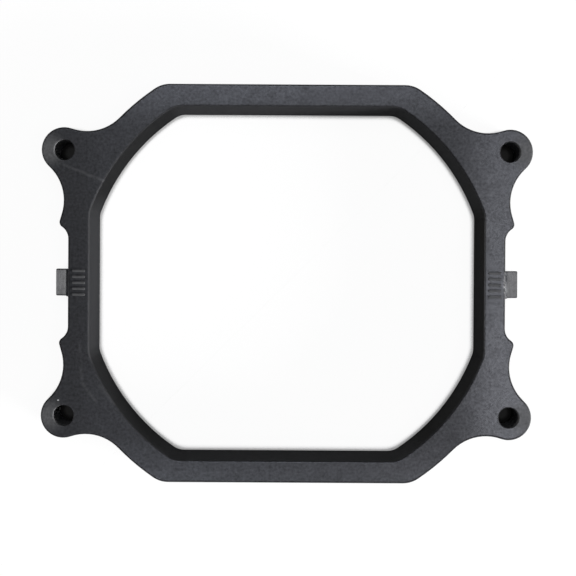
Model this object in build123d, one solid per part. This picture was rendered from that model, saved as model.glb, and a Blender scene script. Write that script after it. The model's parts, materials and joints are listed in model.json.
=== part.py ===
from build123d import *
import math
import os

# Mounting bracket for a processor cooler: one moulded plastic frame.
# A ring with two long flats and two short sides carries four ears with fixing holes.
# The cooler's base sits in the window, and its spring clip hooks under a lug on each short side.
# Millimetres. Origin at the middle of the underside, +X along the longer hole pitch, +Z up.

# Fixing holes
hole_pitch_x = 94.0
hole_pitch_y = 56.0
hole_diameter = 4.3
hole_edge_radius = 0.2

# Ears, and the hollow necks that lead from each ear into the ring
ear_radius = 4.75
neck_radius = 9.7

# Ring, with depths measured inwards from its outer circle
frame_height = 15.0
ring_inset = 5.06  # from a fixing hole's centre in to the outer circle
flat_depth = 7.65  # from the outer circle in to a long flat
flat_corner_radius = 5.7
relief_depth = 3.56  # from the outer circle in to a short side
relief_corner_radius = 3.0
nub_radius = 1.2  # tip left standing between a short side and the ring
nub_land = 1.5  # length of ring between that tip and the nearest neck

# Walls around the window, measured at the top face
ring_wall = 5.43
long_wall = 4.62
short_wall = 4.45
window_corner_radius = 5.0
window_draft = 3.4  # degrees, the window narrows towards the underside

# Catch lugs for the spring clip, each with a ramp on top and a thin pad on the wall above it
lug_width = 5.8
lug_reach = 3.65
lug_floor = 2.0  # underside of the lug above the underside of the frame
lug_root_height = 5.0
lug_nose_height = 3.0
lug_edge_radius = 0.25
lug_root_radius = 0.2
pad_depth = 0.52  # how far the pad stands out from a short side
pad_drop = 0.8  # top of the pad below the top face

# Index ribs on top of each short wall
rib_count = 5
rib_pitch = 1.25
rib_length = 2.8
rib_width = 0.6
rib_height = 0.25
rib_edge_radius = 0.18

# Rounded edges of the frame
outer_edge_radius = 0.4
window_edge_radius = 0.35
foot_edge_radius = 0.3

# Places worked out from the sizes above
origin = Vector(0, 0)
ear_centre = Vector(hole_pitch_x / 2, hole_pitch_y / 2)
ring_radius = ear_centre.length - ring_inset
flat_y = ring_radius - flat_depth
side_x = ring_radius - relief_depth
window_radius = ring_radius - ring_wall
window_y = flat_y - long_wall
window_x = side_x - short_wall
wall_middle_x = side_x - short_wall / 2
on_plane = 0.01  # an edge whose middle is nearer than this to a plane lies in it


def toward(start, target, distance):
    """Point at a distance from start on the way to target."""
    return start + (target - start).normalized() * distance


def short_arc(centre, start, end):
    """The shorter arc about a centre between two points of its circle."""
    radius = (start - centre).length
    return ThreePointArc(start, toward(centre, (start + end) / 2, radius), end)


def rounded_chord(circle_radius, chord, corner_radius):
    """Half length of a straight cut across a circle, once its ends are rounded into the circle."""
    return math.sqrt((circle_radius - corner_radius) ** 2 - (chord - corner_radius) ** 2)


def neck_centre(turn):
    """Centre of the circle that touches the ring and the ear, on one side of the ear."""
    ring_reach = ring_radius + neck_radius
    ear_reach = ear_radius + neck_radius
    span = ear_centre.length
    along = (ring_reach**2 + span**2 - ear_reach**2) / (2 * span)
    aside = math.sqrt(ring_reach**2 - along**2)
    direction = ear_centre.normalized()
    return direction * along + Vector(-direction.Y, direction.X) * aside * turn


def closed_face(corner, side_end, flat_end):
    """Face with one corner chain in each quadrant, joined by two short sides and two long flats."""
    upper = corner + [edge.mirror(Plane.YZ) for edge in corner]
    lower = [edge.mirror(Plane.XZ) for edge in upper]
    straights = []
    for sign in (1, -1):
        straights.append(Line((sign * side_end.X, -side_end.Y), (sign * side_end.X, side_end.Y)))
        straights.append(Line((-flat_end.X, sign * flat_end.Y), (flat_end.X, sign * flat_end.Y)))
    return make_face(upper + lower + straights)


def frame_face():
    """Outline of the frame, from one corner with its nub, ear and rounded flat end."""
    low_neck = neck_centre(-1)
    high_neck = neck_centre(1)
    low_root = toward(origin, low_neck, ring_radius)
    high_root = toward(origin, high_neck, ring_radius)
    low_ear = toward(ear_centre, low_neck, ear_radius)
    high_ear = toward(ear_centre, high_neck, ear_radius)
    ear_tip = toward(ear_centre, ear_centre * 2, ear_radius)

    nub_angle = math.atan2(low_root.Y, low_root.X) - nub_land / ring_radius
    nub_end = Vector(math.cos(nub_angle), math.sin(nub_angle)) * ring_radius
    nub_centre = toward(origin, nub_end, ring_radius - nub_radius)
    relief_x = side_x + relief_corner_radius
    relief_rise = math.sqrt((relief_corner_radius + nub_radius) ** 2 - (relief_x - nub_centre.X) ** 2)
    relief_centre = Vector(relief_x, nub_centre.Y - relief_rise)
    nub_start = toward(nub_centre, relief_centre, nub_radius)
    side_end = Vector(side_x, relief_centre.Y)

    flat_half = rounded_chord(ring_radius, flat_y, flat_corner_radius)
    corner_centre = Vector(flat_half, flat_y - flat_corner_radius)
    corner_start = toward(origin, corner_centre, ring_radius)
    flat_end = Vector(flat_half, flat_y)

    corner = [
        short_arc(relief_centre, side_end, nub_start),
        short_arc(nub_centre, nub_start, nub_end),
        short_arc(origin, nub_end, low_root),
        short_arc(low_neck, low_root, low_ear),
        ThreePointArc(low_ear, ear_tip, high_ear),
        short_arc(high_neck, high_ear, high_root),
        short_arc(origin, high_root, corner_start),
        short_arc(corner_centre, corner_start, flat_end),
    ]
    return closed_face(corner, side_end, flat_end)


def window_face():
    """Opening of the window at the top face."""
    side_half = rounded_chord(window_radius, window_x, window_corner_radius)
    flat_half = rounded_chord(window_radius, window_y, window_corner_radius)
    side_centre = Vector(window_x - window_corner_radius, side_half)
    flat_centre = Vector(flat_half, window_y - window_corner_radius)
    side_end = Vector(window_x, side_half)
    flat_end = Vector(flat_half, window_y)
    ring_start = toward(origin, side_centre, window_radius)
    ring_end = toward(origin, flat_centre, window_radius)
    corner = [
        short_arc(side_centre, side_end, ring_start),
        short_arc(origin, ring_start, ring_end),
        short_arc(flat_centre, ring_end, flat_end),
    ]
    return closed_face(corner, side_end, flat_end)


def top_face(part):
    """Highest face of a part."""
    return part.faces().sort_by(Axis.Z)[-1]


def foot_face(part):
    """Lowest face of a part."""
    return part.faces().sort_by(Axis.Z)[0]


def window_edges(face):
    """Edges of the window in the top or foot face."""
    return face.inner_wires().sort_by(SortBy.LENGTH)[-1].edges()


def hole_edges(face):
    """Edges of the fixing holes in the top or foot face."""
    return face.inner_wires().sort_by(SortBy.LENGTH)[:-1].edges()


def plain_frame():
    """Frame with its drafted window and fixing holes, and all its edges rounded."""
    window = extrude(window_face(), frame_height, taper=window_draft)
    hole = Cylinder(hole_diameter / 2, frame_height, align=(Align.CENTER, Align.CENTER, Align.MIN))
    frame = extrude(frame_face(), frame_height)
    frame -= Pos(0, 0, frame_height) * Rot(180, 0, 0) * window
    frame -= [place * hole for place in GridLocations(hole_pitch_x, hole_pitch_y, 2, 2)]

    frame = fillet(top_face(frame).outer_wire().edges(), outer_edge_radius)
    frame = fillet(window_edges(top_face(frame)), window_edge_radius)
    frame = fillet(hole_edges(top_face(frame)), hole_edge_radius)
    frame = fillet(foot_face(frame).outer_wire().edges(), foot_edge_radius)
    frame = fillet(window_edges(foot_face(frame)), foot_edge_radius)
    return fillet(hole_edges(foot_face(frame)), hole_edge_radius)


def lug():
    """Catch lug and pad on the +X side, sunk to the middle of the wall that carries them."""
    nose_x = side_x + lug_reach
    pad_x = side_x + pad_depth
    pad_top = frame_height - pad_drop
    profile = Polyline(
        (wall_middle_x, lug_floor),
        (nose_x, lug_floor),
        (nose_x, lug_floor + lug_nose_height),
        (pad_x, lug_floor + lug_root_height),
        (pad_x, pad_top),
        (wall_middle_x, pad_top),
        close=True,
    )
    block = extrude(Plane.XZ * make_face(profile), lug_width / 2, both=True)
    proud_edges = block.edges().filter_by(lambda edge: edge.center().X > wall_middle_x + on_plane)
    return fillet(proud_edges, lug_edge_radius)


def lug_root_edges(part):
    """Edges where the lugs and their pads meet the short sides."""
    on_sides = part.edges().filter_by(lambda edge: abs(abs(edge.center().X) - side_x) < on_plane)
    return on_sides.filter_by(lambda edge: edge.bounding_box().max.Y < lug_width / 2 + on_plane)


def rib():
    """One index rib with round ends, lying along X on the top face."""
    bar = extrude(SlotOverall(rib_length, rib_width), rib_height)
    return Pos(0, 0, frame_height) * fillet(top_face(bar).edges(), rib_edge_radius)


def bracket_frame():
    """The whole moulding."""
    frame = plain_frame()
    frame += [lug(), lug().mirror(Plane.YZ)]
    frame = fillet(lug_root_edges(frame), lug_root_radius)
    for sign in (1, -1):
        frame += [
            Pos(sign * wall_middle_x, place.position.Y) * rib()
            for place in GridLocations(0, rib_pitch, 1, rib_count)
        ]
    return frame


os.makedirs("parts", exist_ok=True)
export_step(bracket_frame(), "parts/bracket_frame.step")
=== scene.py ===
import json
import math

import bpy
from mathutils import Matrix, Vector


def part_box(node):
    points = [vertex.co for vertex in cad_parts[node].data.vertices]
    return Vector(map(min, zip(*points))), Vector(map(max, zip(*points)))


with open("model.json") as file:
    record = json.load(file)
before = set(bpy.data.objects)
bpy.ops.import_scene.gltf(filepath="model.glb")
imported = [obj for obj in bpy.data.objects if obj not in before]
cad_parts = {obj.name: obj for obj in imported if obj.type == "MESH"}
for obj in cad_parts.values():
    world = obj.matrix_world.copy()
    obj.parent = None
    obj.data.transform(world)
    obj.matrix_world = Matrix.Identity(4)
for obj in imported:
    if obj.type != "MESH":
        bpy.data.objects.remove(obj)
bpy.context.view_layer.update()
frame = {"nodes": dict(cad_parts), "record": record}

bl_info = {
    "name": "Cooler Bracket",
    "version": (1, 0, 0),
    "blender": (4, 5, 0),
    "location": "View3D > Sidebar > Bracket",
    "description": "Finishes a moulded cooler mounting bracket and sets it on a pale studio floor",
    "category": "Object",
}

FRAME_NODE = "bracket_frame"
MILLIMETRE = 0.001

# Places on the frame, in millimetres
RIB_HEIGHT = 0.25
TOP_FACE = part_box(FRAME_NODE)[1][2] / MILLIMETRE - RIB_HEIGHT
HOLE_PATTERN = next(
    mount["dims"] for mount in frame["record"]["mounts"] if mount["name"] == "fixing_holes"
)
EAR_CENTRE = Vector((HOLE_PATTERN["spacing_x_mm"] / 2, HOLE_PATTERN["spacing_y_mm"] / 2, TOP_FACE))
HOLE_AXIS = EAR_CENTRE.xy.to_3d()
# Where the painted highlight beside each fixing hole is centred, off the hole's axis
EAR_HIGHLIGHT_OFFSET = Vector((3.2, 0.0, 0.0))
EAR_HIGHLIGHT_SPOT = EAR_CENTRE + EAR_HIGHLIGHT_OFFSET

# Where the surface starts to get glossier towards the outside, and over what width, in millimetres
OUTER_ZONE = {"X": (36.0, 7.0), "Y": (33.0, 7.0)}

# Zones in millimetres, each from not at all to fully
TOP_ZONE = (TOP_FACE - 1.0, TOP_FACE - 0.2)
EAR_ZONE = (4.6, 0.8)
RIB_ZONE = (TOP_FACE + 0.05, TOP_FACE + RIB_HEIGHT)
LEFT_ZONE = (-33.0, -45.0)
RIGHT_ZONE = (33.0, 45.0)
EDGE_ZONE = (-18.5, -15.0)
MARK_ZONE = (TOP_FACE - 1.6, TOP_FACE - 1.2)
LUG_ZONE_X = (46.5, 46.9)
LUG_ZONE_Y = (3.2, 3.0)
HOLE_ZONE = (2.45, 2.2)
WINDOW_REACH = (46.0, 45.0)
WINDOW_X = (44.0, 43.0)
WINDOW_Y = (40.0, 39.0)

# Painted shade on parts of the window wall: zones along X and along Y in millimetres, and how much
# darker
PAINTED_WALL_SHADES = (
    ((-21.0, -26.0), (13.0, 20.0), 0.70),
    ((-24.0, -30.0), (-13.0, -17.5), 0.57),
    ((24.0, 30.0), (19.0, 13.0), 0.82),
)

# Slopes by the vertical part of their normal, a plain number, from not at all to fully
STEEP_NORMAL = (0.75, 0.3)
PLUMB_NORMAL = (0.3, 0.05)
ROUNDED_NORMAL = (0.97, 0.85)
PLAIN = 1.0

# Pale marks on the top face: both ends and the half width in millimetres, and how pale
# A knit line in two parts, three flow streaks and a fleck of dust, then a scuff in four parts
FLOW_LINES = (
    ((-46.9, 24.7), (-43.2, 23.3), 0.45, 0.018),
    ((-42.7, 23.1), (-38.9, 21.6), 0.58, 0.026),
    ((-43.6, -12.8), (-43.0, -21.0), 0.60, 0.010),
    ((-42.7, -21.5), (-40.2, -24.9), 0.55, 0.018),
    ((-39.3, -21.6), (-36.3, -25.6), 0.65, 0.011),
    ((-48.1, -24.8), (-48.0, -24.8), 0.24, 0.50),
)
SCUFFS = (
    ((46.1, 2.6), (46.0, 1.0), 0.50, 0.10),
    ((45.9, 0.9), (46.1, -0.2), 0.65, 0.15),
    ((46.0, -0.3), (46.2, -1.3), 0.70, 0.22),
    ((46.1, -1.4), (46.3, -2.6), 0.50, 0.12),
)

# Noise that breaks up those marks: levels at which it starts and ends, and strengths at both
LINE_CLOUDS = (0.3, 0.6)
LINE_STRENGTH = (0.4, 1.1)
SCUFF_GRAINS = (0.38, 0.62)

# All noises: octaves, strength of each finer octave, and mean value
NOISE_DETAIL = 2.0
NOISE_ROUGHNESS = 0.6
NOISE_MEAN = 0.5

# Streaks on the lugs: width in millimetres, and how far each axis is squeezed to draw them out
STREAK_WIDTH = 0.25
STREAK_SQUEEZE = (1.0, 0.08, 1.0)

# The matt surface, the share of grain that the lugs lack and the share of gloss that the ears and
# ribs lack, where a painted highlight pales their colour
MATT_ROUGHNESS = 0.9
MATT_SPECULAR = 0.05
LUG_SMOOTHNESS = 0.7
EAR_AND_RIB_DULLNESS = 0.75

# Colours
BLACK = (0.0, 0.0, 0.0)
WHITE = (1.0, 1.0, 1.0)
WARM_WHITE = (1.0, 0.98, 0.91)
COOL_WHITE = (0.92, 0.955, 1.0)

# Lamps: tilt from straight above and turn from +X in degrees, side in metres, watts, colour
LAMP_DISTANCE = 2.4
LAMPS = {
    "key_right": (74, 333, 0.8, 160.0, WHITE),
    "side_right": (71, 0, 0.8, 9.4, WARM_WHITE),
    "side_left": (71, 180, 0.8, 10.6, WARM_WHITE),
    "top_right": (15, 345, 0.5, 11.2, WHITE),
    "top_back": (15, 96, 0.5, 12.8, COOL_WHITE),
    "top_front": (15, 243, 0.5, 5.2, COOL_WHITE),
}

# Lamps that give no reflection
MATT_LAMPS = ("key_right",)

# Height of the glow along the horizon, as the vertical part of a direction, from full to none
HORIZON_GLOW = (0.45, 0.88)

# Painted shade on the floor at the foot of a wall and inside a hole: openness from darkest to full,
# and the darkest shares
OPENNESS_SAMPLES = 8
FOOT_OPENNESS = (0.66, 0.8)
FOOT_DARKEST = 0.3
FOOT_LEAST_WHITE = 0.25
HOLE_OPENNESS = (0.12, 0.4)
HOLE_DARKEST = 0.01

# Camera above the frame: sensor, lens, near clip, place and target in millimetres, roll in degrees
CAMERA_SENSOR = 36.0
CAMERA_LENS = 124.6
CAMERA_CLIP = 10.0
CAMERA_PLACE = (0.763, 5.06, 435.0)
CAMERA_TARGET = (0.303, -0.87, TOP_FACE)
CAMERA_ROLL = 0.33

# Colour sockets of a Mix node, which only their numbers tell apart
MIX_FACTOR = 0
MIX_LOW = 6
MIX_HIGH = 7
MIX_RESULT = 2

# Keeps X and Y of a vector
PLAN = (1.0, 1.0, 0.0)


class PlasticFinish(bpy.types.PropertyGroup):
    """Colour and surface of the moulded plastic."""

    colour: bpy.props.FloatVectorProperty(
        name="Colour",
        description="Body colour of the plastic",
        subtype="COLOR",
        size=3,
        min=0.0,
        max=1.0,
        default=(0.0145, 0.0147, 0.0159),
    )
    # Also the colour of the painted highlights and painted light on the ears, ribs, window edge and
    # holes
    pale_colour: bpy.props.FloatVectorProperty(
        name="Pale Colour",
        description="Colour of worn places, scuffs, flow marks and dust",
        subtype="COLOR",
        size=3,
        min=0.0,
        max=1.0,
        default=(0.60, 0.60, 0.61),
    )
    roughness: bpy.props.FloatProperty(
        name="Roughness",
        description="Roughness of the satin surface",
        subtype="FACTOR",
        min=0.0,
        max=1.0,
        default=0.26,
    )
    gloss_tint: bpy.props.FloatVectorProperty(
        name="Gloss Tint",
        description="Tint of the reflections",
        subtype="COLOR",
        size=3,
        min=0.0,
        max=1.0,
        default=(0.88, 0.90, 1.0),
    )
    gloss: bpy.props.FloatProperty(
        name="Gloss",
        description="Share of the satin surface on the inner part of the ring",
        subtype="FACTOR",
        min=0.0,
        max=1.0,
        default=0.35,
    )
    outer_gloss: bpy.props.FloatProperty(
        name="Outer Gloss",
        description="How much more satin the surface gets towards the outside",
        subtype="FACTOR",
        min=0.0,
        max=1.0,
        default=0.32,
    )
    lug_gloss: bpy.props.FloatProperty(
        name="Lug Gloss",
        description="How much more satin the catch lugs are than the outside of the frame",
        subtype="FACTOR",
        min=0.0,
        max=1.0,
        default=0.2,
    )
    # Painted shade: the window walls take a darker copy of the body colour
    window_painted_light: bpy.props.FloatProperty(
        name="Window Light",
        description="Lightness of the matt window walls, against the body colour",
        min=0.0,
        default=0.9,
    )
    # Painted light: the outer walls take a lighter copy of the body colour
    side_painted_light: bpy.props.FloatProperty(
        name="Side Light",
        description="Lightness of the outer walls, against the body colour",
        min=0.0,
        default=1.9,
    )
    right_gloss: bpy.props.FloatProperty(
        name="Right Gloss",
        description="How much glossier the right side of the frame is than its middle",
        subtype="FACTOR",
        min=0.0,
        max=1.0,
        default=0.3,
    )
    left_matt: bpy.props.FloatProperty(
        name="Left Matt",
        description="How much of the gloss the left side of the frame lacks",
        subtype="FACTOR",
        min=0.0,
        max=1.0,
        default=0.72,
    )
    # Painted highlight beside each fixing hole, lightening the base colour there
    ear_painted_highlight: bpy.props.FloatProperty(
        name="Ear Wear",
        description="How pale the worn spot beside each fixing hole is",
        subtype="FACTOR",
        min=0.0,
        max=1.0,
        default=0.065,
    )
    # Painted highlight along the rounded left edge of the window
    edge_painted_highlight: bpy.props.FloatProperty(
        name="Edge Wear",
        description="How pale the left edge of the window is rubbed",
        subtype="FACTOR",
        min=0.0,
        max=1.0,
        default=0.02,
    )
    # Painted light on the walls inside the fixing holes
    hole_painted_light: bpy.props.FloatProperty(
        name="Hole Wear",
        description="How pale the fixing holes are rubbed inside",
        subtype="FACTOR",
        min=0.0,
        max=1.0,
        default=0.12,
    )
    # Painted highlight on the tops of the index ribs
    rib_painted_highlight: bpy.props.FloatProperty(
        name="Rib Wear",
        description="How pale the index ribs are rubbed on top",
        subtype="FACTOR",
        min=0.0,
        max=1.0,
        default=0.05,
    )
    mottle: bpy.props.FloatProperty(
        name="Mottle",
        description="How much colour and gloss change from grain to grain",
        min=0.0,
        default=1.4,
    )
    cloudiness: bpy.props.FloatProperty(
        name="Cloudiness",
        description="How much the gloss changes in broader patches",
        min=0.0,
        default=0.8,
    )
    streakiness: bpy.props.FloatProperty(
        name="Streakiness",
        description="How much the gloss of the lugs changes from streak to streak",
        min=0.0,
        default=0.9,
    )
    grain_size: bpy.props.FloatProperty(
        name="Grain Size",
        description="Width of one grain of the moulded texture",
        unit="LENGTH",
        min=0.0,
        default=0.6 * MILLIMETRE,
    )
    cloud_size: bpy.props.FloatProperty(
        name="Cloud Size",
        description="Width of one of the broader patches",
        unit="LENGTH",
        min=0.0,
        default=2.2 * MILLIMETRE,
    )
    grain_depth: bpy.props.FloatProperty(
        name="Grain Depth",
        description="Height of the moulded texture",
        unit="LENGTH",
        min=0.0,
        default=0.008 * MILLIMETRE,
    )


class StudioStage(bpy.types.PropertyGroup):
    """Floor and surroundings."""

    floor_size: bpy.props.FloatProperty(
        name="Floor Size",
        description="Side of the square floor",
        unit="LENGTH",
        default=12.0,
    )
    floor_colour: bpy.props.FloatVectorProperty(
        name="Floor Colour",
        description="Colour of the floor and of the surroundings",
        subtype="COLOR",
        size=3,
        min=0.0,
        max=1.0,
        default=(0.9, 0.9, 0.9),
    )
    whiteness: bpy.props.FloatProperty(
        name="Whiteness",
        description="How far the floor is seen as plain white",
        subtype="FACTOR",
        min=0.0,
        max=1.0,
        default=0.94,
    )
    glossy_white: bpy.props.FloatProperty(
        name="White In Gloss",
        description="How much of that white shows in reflections",
        subtype="FACTOR",
        min=0.0,
        max=1.0,
        default=0.3,
    )
    contact_reach: bpy.props.FloatProperty(
        name="Contact Reach",
        description="How near a wall darkens the white floor at its foot",
        unit="LENGTH",
        default=1.7 * MILLIMETRE,
    )
    hole_reach: bpy.props.FloatProperty(
        name="Hole Reach",
        description="How near the walls of a deep hole darken the floor inside it",
        unit="LENGTH",
        default=12.0 * MILLIMETRE,
    )
    world_light: bpy.props.FloatProperty(
        name="Surrounding Light",
        description="Strength of the even light from all sides",
        default=0.03,
    )
    horizon_light: bpy.props.FloatProperty(
        name="Horizon Light",
        description="Strength of the soft light that comes in low from all round",
        default=0.4,
    )


class Shade:
    """A socket of a node tree, with arithmetic that adds Math nodes."""

    def __init__(self, tree, socket=None):
        self.tree = tree
        self.socket = socket

    def node(self, kind, settings=None, sockets=None, output=0):
        """Add a node with its settings, then the values or links of its sockets."""
        made = self.tree.nodes.new(kind)
        for name, value in (settings or {}).items():
            setattr(made, name, value)
        for name, value in (sockets or {}).items():
            if isinstance(value, Shade):
                self.tree.links.new(value.socket, made.inputs[name])
            else:
                made.inputs[name].default_value = value
        return Shade(self.tree, made.outputs[output] if made.outputs else None)

    def math(self, operation, *values):
        """Add a Math node on values or links."""
        return self.node("ShaderNodeMath", {"operation": operation}, dict(enumerate(values)))

    def vector(self, operation, other=None, output="Vector"):
        """Add a Vector Math node on this vector, and on another where it takes two."""
        sockets = {0: self} if other is None else {0: self, 1: other}
        return self.node("ShaderNodeVectorMath", {"operation": operation}, sockets, output)

    def axis(self, name):
        """One coordinate of a vector."""
        return self.node("ShaderNodeSeparateXYZ", {}, {"Vector": self}, name)

    def clamp(self):
        """The value held between 0 and 1."""
        return self.node("ShaderNodeClamp", {}, {"Value": self})

    def rise(self, low, high):
        """A smooth step from 0 at low to 1 at high."""
        ends = {"Value": self, "From Min": low, "From Max": high}
        return self.node("ShaderNodeMapRange", {"interpolation_type": "SMOOTHSTEP"}, ends)

    def between(self, low, high):
        """A number that goes from low at 0 to high at 1."""
        return self * (high - low) + low

    def tint(self, low, high):
        """A colour that goes from low at 0 to high at 1."""
        sockets = {MIX_FACTOR: self, MIX_LOW: low, MIX_HIGH: high}
        return self.node("ShaderNodeMix", {"data_type": "RGBA"}, sockets, MIX_RESULT)

    def blend(self, low, high):
        """A shader that goes from low at 0 to high at 1."""
        return self.node("ShaderNodeMixShader", {}, {"Fac": self, 1: low, 2: high})

    def noise(self, grain):
        """Noise between 0 and 1 with grains of one size, over this vector."""
        sockets = {"Vector": self, "Scale": 1 / grain}
        sockets.update({"Detail": NOISE_DETAIL, "Roughness": NOISE_ROUGHNESS})
        return self.node("ShaderNodeTexNoise", {}, sockets)

    def __add__(self, other):
        return self.math("ADD", self, other)

    def __sub__(self, other):
        return self.math("SUBTRACT", self, other)

    def __rsub__(self, other):
        return self.math("SUBTRACT", other, self)

    def __mul__(self, other):
        return self.math("MULTIPLY", self, other)

    __radd__ = __add__
    __rmul__ = __mul__


def opaque(colour):
    """A colour with full alpha."""
    return (*colour, 1.0)


def new_material(name):
    """An empty material and a Shade to build its nodes with."""
    material = bpy.data.materials.new(name)
    material.use_nodes = True
    material.node_tree.nodes.clear()
    return material, Shade(material.node_tree)


def finish_surface(shade, shader):
    """Send a shader to the material's output."""
    shade.node("ShaderNodeOutputMaterial", {}, {"Surface": shader})


def zone(value, ends, unit=MILLIMETRE):
    """A mask that goes smoothly from 0 at the first end to 1 at the second."""
    low, high = sorted(ends)
    mask = value.rise(low * unit, high * unit)
    return mask if ends[0] < ends[1] else 1 - mask


def outward(corner):
    """How far out a point of the frame lies, from 0 on the ring to 1 on the bars and ears."""
    beyond = []
    for name, (inner, width) in OUTER_ZONE.items():
        beyond.append((corner.axis(name) - inner * MILLIMETRE) * (1 / (width * MILLIMETRE)))
    return corner.math("MAXIMUM", *beyond).clamp()


def beside(place, start, end):
    """Distance of a point, seen in plan, from the straight line between two places."""
    first = Vector((*start, 0.0)) * MILLIMETRE
    along = Vector((*end, 0.0)) * MILLIMETRE - first
    leading = place.vector("MULTIPLY", PLAN).vector("SUBTRACT", first)
    share = leading.vector("DOT_PRODUCT", along / along.length_squared, "Value").clamp()
    return leading.vector("DISTANCE", share.vector("MULTIPLY", along), "Value")


def pale_lines(place, lines):
    """How pale a point near the top face is, from soft straight lines."""
    pale = 0.0
    for start, end, width, strength in lines:
        pale = pale + zone(beside(place, start, end), (width, 0.0)) * strength
    return pale * zone(place.axis("Z"), MARK_ZONE)


def painted_wall_shade(place):
    """How much painted shade darkens a point of the window wall."""
    dark = 0.0
    for across, along, strength in PAINTED_WALL_SHADES:
        dark = dark + zone(place.axis("X"), across) * zone(place.axis("Y"), along) * strength
    return dark


class Surface:
    """Noises over the frame and masks of its places, each between 0 and 1."""

    def __init__(self, shade, finish):
        place = shade.node("ShaderNodeTexCoord", output="Object")
        normal = shade.node("ShaderNodeTexCoord", output="Normal")
        corner = place.vector("ABSOLUTE")
        plan = corner.vector("MULTIPLY", PLAN)
        across = corner.axis("X")
        along = corner.axis("Y")
        height = place.axis("Z")
        level = normal.vector("ABSOLUTE").axis("Z")

        self.place = place
        self.grain = place.noise(finish.grain_size)
        self.cloud = place.noise(finish.cloud_size)
        self.streak = place.vector("MULTIPLY", STREAK_SQUEEZE).noise(STREAK_WIDTH * MILLIMETRE)

        self.top = zone(height, TOP_ZONE)
        self.rib = zone(height, RIB_ZONE)
        self.left = zone(place.axis("X"), LEFT_ZONE)
        self.right = zone(place.axis("X"), RIGHT_ZONE)
        self.outer = outward(corner)
        self.lug = zone(across, LUG_ZONE_X) * zone(along, LUG_ZONE_Y)
        self.ear = zone(corner.vector("DISTANCE", EAR_HIGHLIGHT_SPOT * MILLIMETRE, "Value"), EAR_ZONE)
        bore = zone(plan.vector("DISTANCE", HOLE_AXIS * MILLIMETRE, "Value"), HOLE_ZONE)
        self.hole = bore * (1 - self.top)

        middle = zone(plan.vector("LENGTH", output="Value"), WINDOW_REACH)
        self.window = middle * zone(across, WINDOW_X) * zone(along, WINDOW_Y)
        self.steep = zone(level, STEEP_NORMAL, PLAIN)
        self.side = zone(level, PLUMB_NORMAL, PLAIN) * (1 - self.window)
        rounded = zone(level, ROUNDED_NORMAL, PLAIN) * self.top * self.window
        self.edge = rounded * self.left * zone(place.axis("Y"), EDGE_ZONE)


def plastic_colour(surface, finish):
    """Body colour with its grain, painted light and shade on walls, ears, ribs, edge and holes, and
    pale marks.
    """
    body = Vector(finish.colour)
    dark = body * (1 - finish.mottle / 2)
    light = body * (1 + finish.mottle / 2)
    grained = surface.grain.tint(opaque(dark), opaque(light))
    # Painted light and shade: steep walls take their own lighter or darker copy of the body colour
    walled = surface.steep.tint(grained, opaque(body * finish.window_painted_light))
    # Painted shade: parts of the window wall are darkened towards black
    shadow = painted_wall_shade(surface.place) * surface.window * (1 - surface.top)
    shaded = shadow.tint(walled, opaque(BLACK))
    sided = surface.side.tint(shaded, opaque(body * finish.side_painted_light))

    clouds = surface.cloud.rise(*LINE_CLOUDS).between(*LINE_STRENGTH)
    marks = pale_lines(surface.place, FLOW_LINES) * clouds
    marks = marks + pale_lines(surface.place, SCUFFS) * surface.grain.rise(*SCUFF_GRAINS)
    # Painted highlights beside the fixing holes, on the rib tops and the left window edge, and
    # painted light inside the holes
    painted_light_marks = surface.ear * (1 + (surface.grain - NOISE_MEAN)) * finish.ear_painted_highlight
    painted_light_marks = painted_light_marks + surface.rib * finish.rib_painted_highlight
    painted_light_marks = painted_light_marks + surface.hole * finish.hole_painted_light + surface.edge * finish.edge_painted_highlight
    return (marks + painted_light_marks).clamp().tint(sided, opaque(finish.pale_colour))


def plastic_gloss(surface, finish):
    """Share of the satin surface, uneven over the top face and none on the window walls."""
    even = surface.outer * finish.outer_gloss + surface.lug * finish.lug_gloss + finish.gloss
    speckle = (surface.grain - NOISE_MEAN) * (1 - surface.lug * LUG_SMOOTHNESS) * finish.mottle
    patches = (surface.cloud - NOISE_MEAN) * finish.cloudiness
    streaks = (surface.streak - NOISE_MEAN) * surface.lug * finish.streakiness
    uneven = 1 + speckle + patches + streaks
    lean = surface.right * finish.right_gloss - surface.left * finish.left_matt
    sideways = 1 + lean * (1 - surface.lug)
    # Less gloss on the ears and ribs, whose colour holds a painted highlight
    ear_and_rib_gloss = 1 - (surface.ear + surface.rib) * EAR_AND_RIB_DULLNESS
    unwalled = 1 - surface.steep * (1 - surface.side)
    return even * uneven * sideways * ear_and_rib_gloss * unwalled


def moulded_plastic(finish):
    """Black plastic with a fine moulded grain, mixed from a satin and a matt surface."""
    material, shade = new_material("moulded_black_plastic")
    surface = Surface(shade, finish)
    bumps = {"Strength": 1.0, "Distance": finish.grain_depth, "Height": surface.grain}
    relief = shade.node("ShaderNodeBump", {}, bumps)
    shared = {"Base Color": plastic_colour(surface, finish), "Normal": relief}
    satin = shade.node(
        "ShaderNodeBsdfPrincipled",
        {},
        {**shared, "Roughness": finish.roughness, "Specular Tint": opaque(finish.gloss_tint)},
    )
    matt = shade.node(
        "ShaderNodeBsdfPrincipled",
        {},
        {**shared, "Roughness": MATT_ROUGHNESS, "Specular IOR Level": MATT_SPECULAR},
    )
    finish_surface(shade, (1 - plastic_gloss(surface, finish)).blend(satin, matt))
    return material


def openness(shade, reach):
    """How open the floor is to the light, with all that stands within a reach."""
    settings = {"samples": OPENNESS_SAMPLES}
    return shade.node("ShaderNodeAmbientOcclusion", settings, {"Distance": reach}, "AO")


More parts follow.
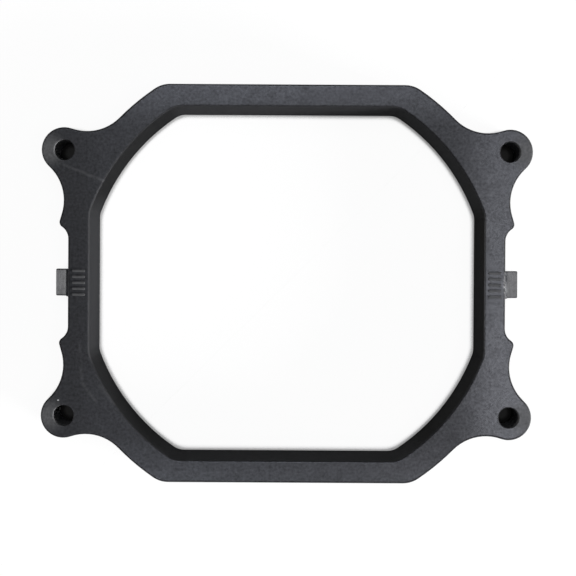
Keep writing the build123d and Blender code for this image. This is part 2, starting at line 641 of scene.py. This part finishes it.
def studio_floor(stage):
    """Pale matt floor that is seen as white, with the object's shadow on it and painted shade at the
    foot of walls and in holes.
    """
    material, shade = new_material("pale_floor")
    foot = openness(shade, stage.contact_reach).rise(*FOOT_OPENNESS)
    deep = openness(shade, stage.hole_reach).rise(*HOLE_OPENNESS).between(HOLE_DARKEST, 1.0)
    # Painted shade: the floor colour darkens at the foot of the walls and inside the holes
    lit = deep * foot.between(FOOT_DARKEST, 1.0)
    colour = lit.tint(opaque(BLACK), opaque(stage.floor_colour))
    matt = shade.node("ShaderNodeBsdfDiffuse", {}, {"Color": colour})
    white = shade.node("ShaderNodeEmission", {}, {"Color": opaque(WHITE), "Strength": 1.0})
    camera = shade.node("ShaderNodeLightPath", output="Is Camera Ray")
    glossy = shade.node("ShaderNodeLightPath", output="Is Glossy Ray")
    clear = shade.node("ShaderNodeLightPath", output="Is Transmission Ray")
    seen = camera + clear + glossy * stage.glossy_white
    share = seen * foot.between(FOOT_LEAST_WHITE, 1.0) * deep * stage.whiteness
    finish_surface(shade, share.blend(matt, white))
    return material


def soft_surroundings(stage):
    """Pale surroundings, dim above and brighter along the horizon."""
    world = bpy.data.worlds.new("soft_surroundings")
    world.use_nodes = True
    world.node_tree.nodes.clear()
    shade = Shade(world.node_tree)
    height = shade.node("ShaderNodeTexCoord", output="Object").axis("Z")
    strength = (1 - height.rise(*HORIZON_GLOW)) * stage.horizon_light + stage.world_light
    sockets = {"Color": opaque(stage.floor_colour), "Strength": strength}
    glow = shade.node("ShaderNodeBackground", {}, sockets)
    shade.node("ShaderNodeOutputWorld", {}, {"Surface": glow})
    return world


def soft_lamp(name, tilt, turn, side, watts, colour):
    """A square soft lamp that faces the object, tilted from straight above and turned from +X."""
    data = bpy.data.lights.new(name, "AREA")
    data.shape = "SQUARE"
    data.size = side
    data.energy = watts
    data.color = colour
    lamp = bpy.data.objects.new(name, data)
    aim = Matrix.Rotation(math.radians(turn), 4, "Z") @ Matrix.Rotation(math.radians(tilt), 4, "Y")
    lamp.matrix_world = aim @ Matrix.Translation((0, 0, LAMP_DISTANCE))
    lamp.visible_glossy = name not in MATT_LAMPS
    bpy.context.scene.collection.objects.link(lamp)


def overhead_camera():
    """The camera above the frame, turned a little about its own axis."""
    data = bpy.data.cameras.new("photo_camera")
    data.sensor_width = CAMERA_SENSOR
    data.lens = CAMERA_LENS
    data.clip_start = CAMERA_CLIP * MILLIMETRE
    camera = bpy.data.objects.new("photo_camera", data)
    place = Vector(CAMERA_PLACE) * MILLIMETRE
    back = (place - Vector(CAMERA_TARGET) * MILLIMETRE).normalized()
    roll = math.radians(CAMERA_ROLL)
    right = Vector((math.cos(roll), math.sin(roll), 0.0))
    right = (right - back * right.dot(back)).normalized()
    turn = Matrix((right, back.cross(right), back)).transposed().to_4x4()
    camera.matrix_world = Matrix.Translation(place) @ turn
    return camera


class BRACKET_OT_frame(bpy.types.Operator):
    """Give the moulded frame its plastic finish"""

    bl_idname = "bracket.frame"
    bl_label = "Finish Frame"

    def execute(self, context):
        moulding = frame["nodes"][FRAME_NODE]
        moulding.data.materials.clear()
        moulding.data.materials.append(moulded_plastic(context.scene.bracket_finish))
        return {"FINISHED"}


class BRACKET_OT_stage(bpy.types.Operator):
    """Add the floor, the lamps, the surroundings and the camera"""

    bl_idname = "bracket.stage"
    bl_label = "Set Stage"

    def execute(self, context):
        stage = context.scene.bracket_stage
        bpy.ops.object.select_all(action="DESELECT")
        bpy.ops.mesh.primitive_plane_add(size=stage.floor_size, location=(0, 0, 0))
        floor = context.object
        floor.name = "studio_floor"
        floor.data.materials.append(studio_floor(stage))

        context.scene.world = soft_surroundings(stage)

        for name, lamp in LAMPS.items():
            soft_lamp(name, *lamp)

        camera = overhead_camera()
        context.scene.collection.objects.link(camera)
        context.scene.camera = camera
        context.scene.view_settings.view_transform = "Standard"
        return {"FINISHED"}


class BRACKET_PT_sidebar(bpy.types.Panel):
    """Sizes, colours and steps of the cooler bracket"""

    bl_label = "Cooler Bracket"
    bl_space_type = "VIEW_3D"
    bl_region_type = "UI"
    bl_category = "Bracket"

    def draw(self, context):
        layout = self.layout
        for group in (context.scene.bracket_finish, context.scene.bracket_stage):
            for name in group.__annotations__:
                layout.prop(group, name)
        for step in STEPS:
            layout.operator(step.bl_idname)


STEPS = (BRACKET_OT_frame, BRACKET_OT_stage)
CLASSES = (PlasticFinish, StudioStage, *STEPS, BRACKET_PT_sidebar)


def register():
    """Register the classes and give the scene their settings."""
    for cls in CLASSES:
        bpy.utils.register_class(cls)
    bpy.types.Scene.bracket_finish = bpy.props.PointerProperty(type=PlasticFinish)
    bpy.types.Scene.bracket_stage = bpy.props.PointerProperty(type=StudioStage)


def unregister():
    """Take the settings and the classes away again."""
    del bpy.types.Scene.bracket_stage
    del bpy.types.Scene.bracket_finish
    for cls in reversed(CLASSES):
        bpy.utils.unregister_class(cls)


def main():
    """Run the steps in order."""
    register()
    bpy.ops.bracket.frame()
    bpy.ops.bracket.stage()


if __name__ == "__main__":
    main()
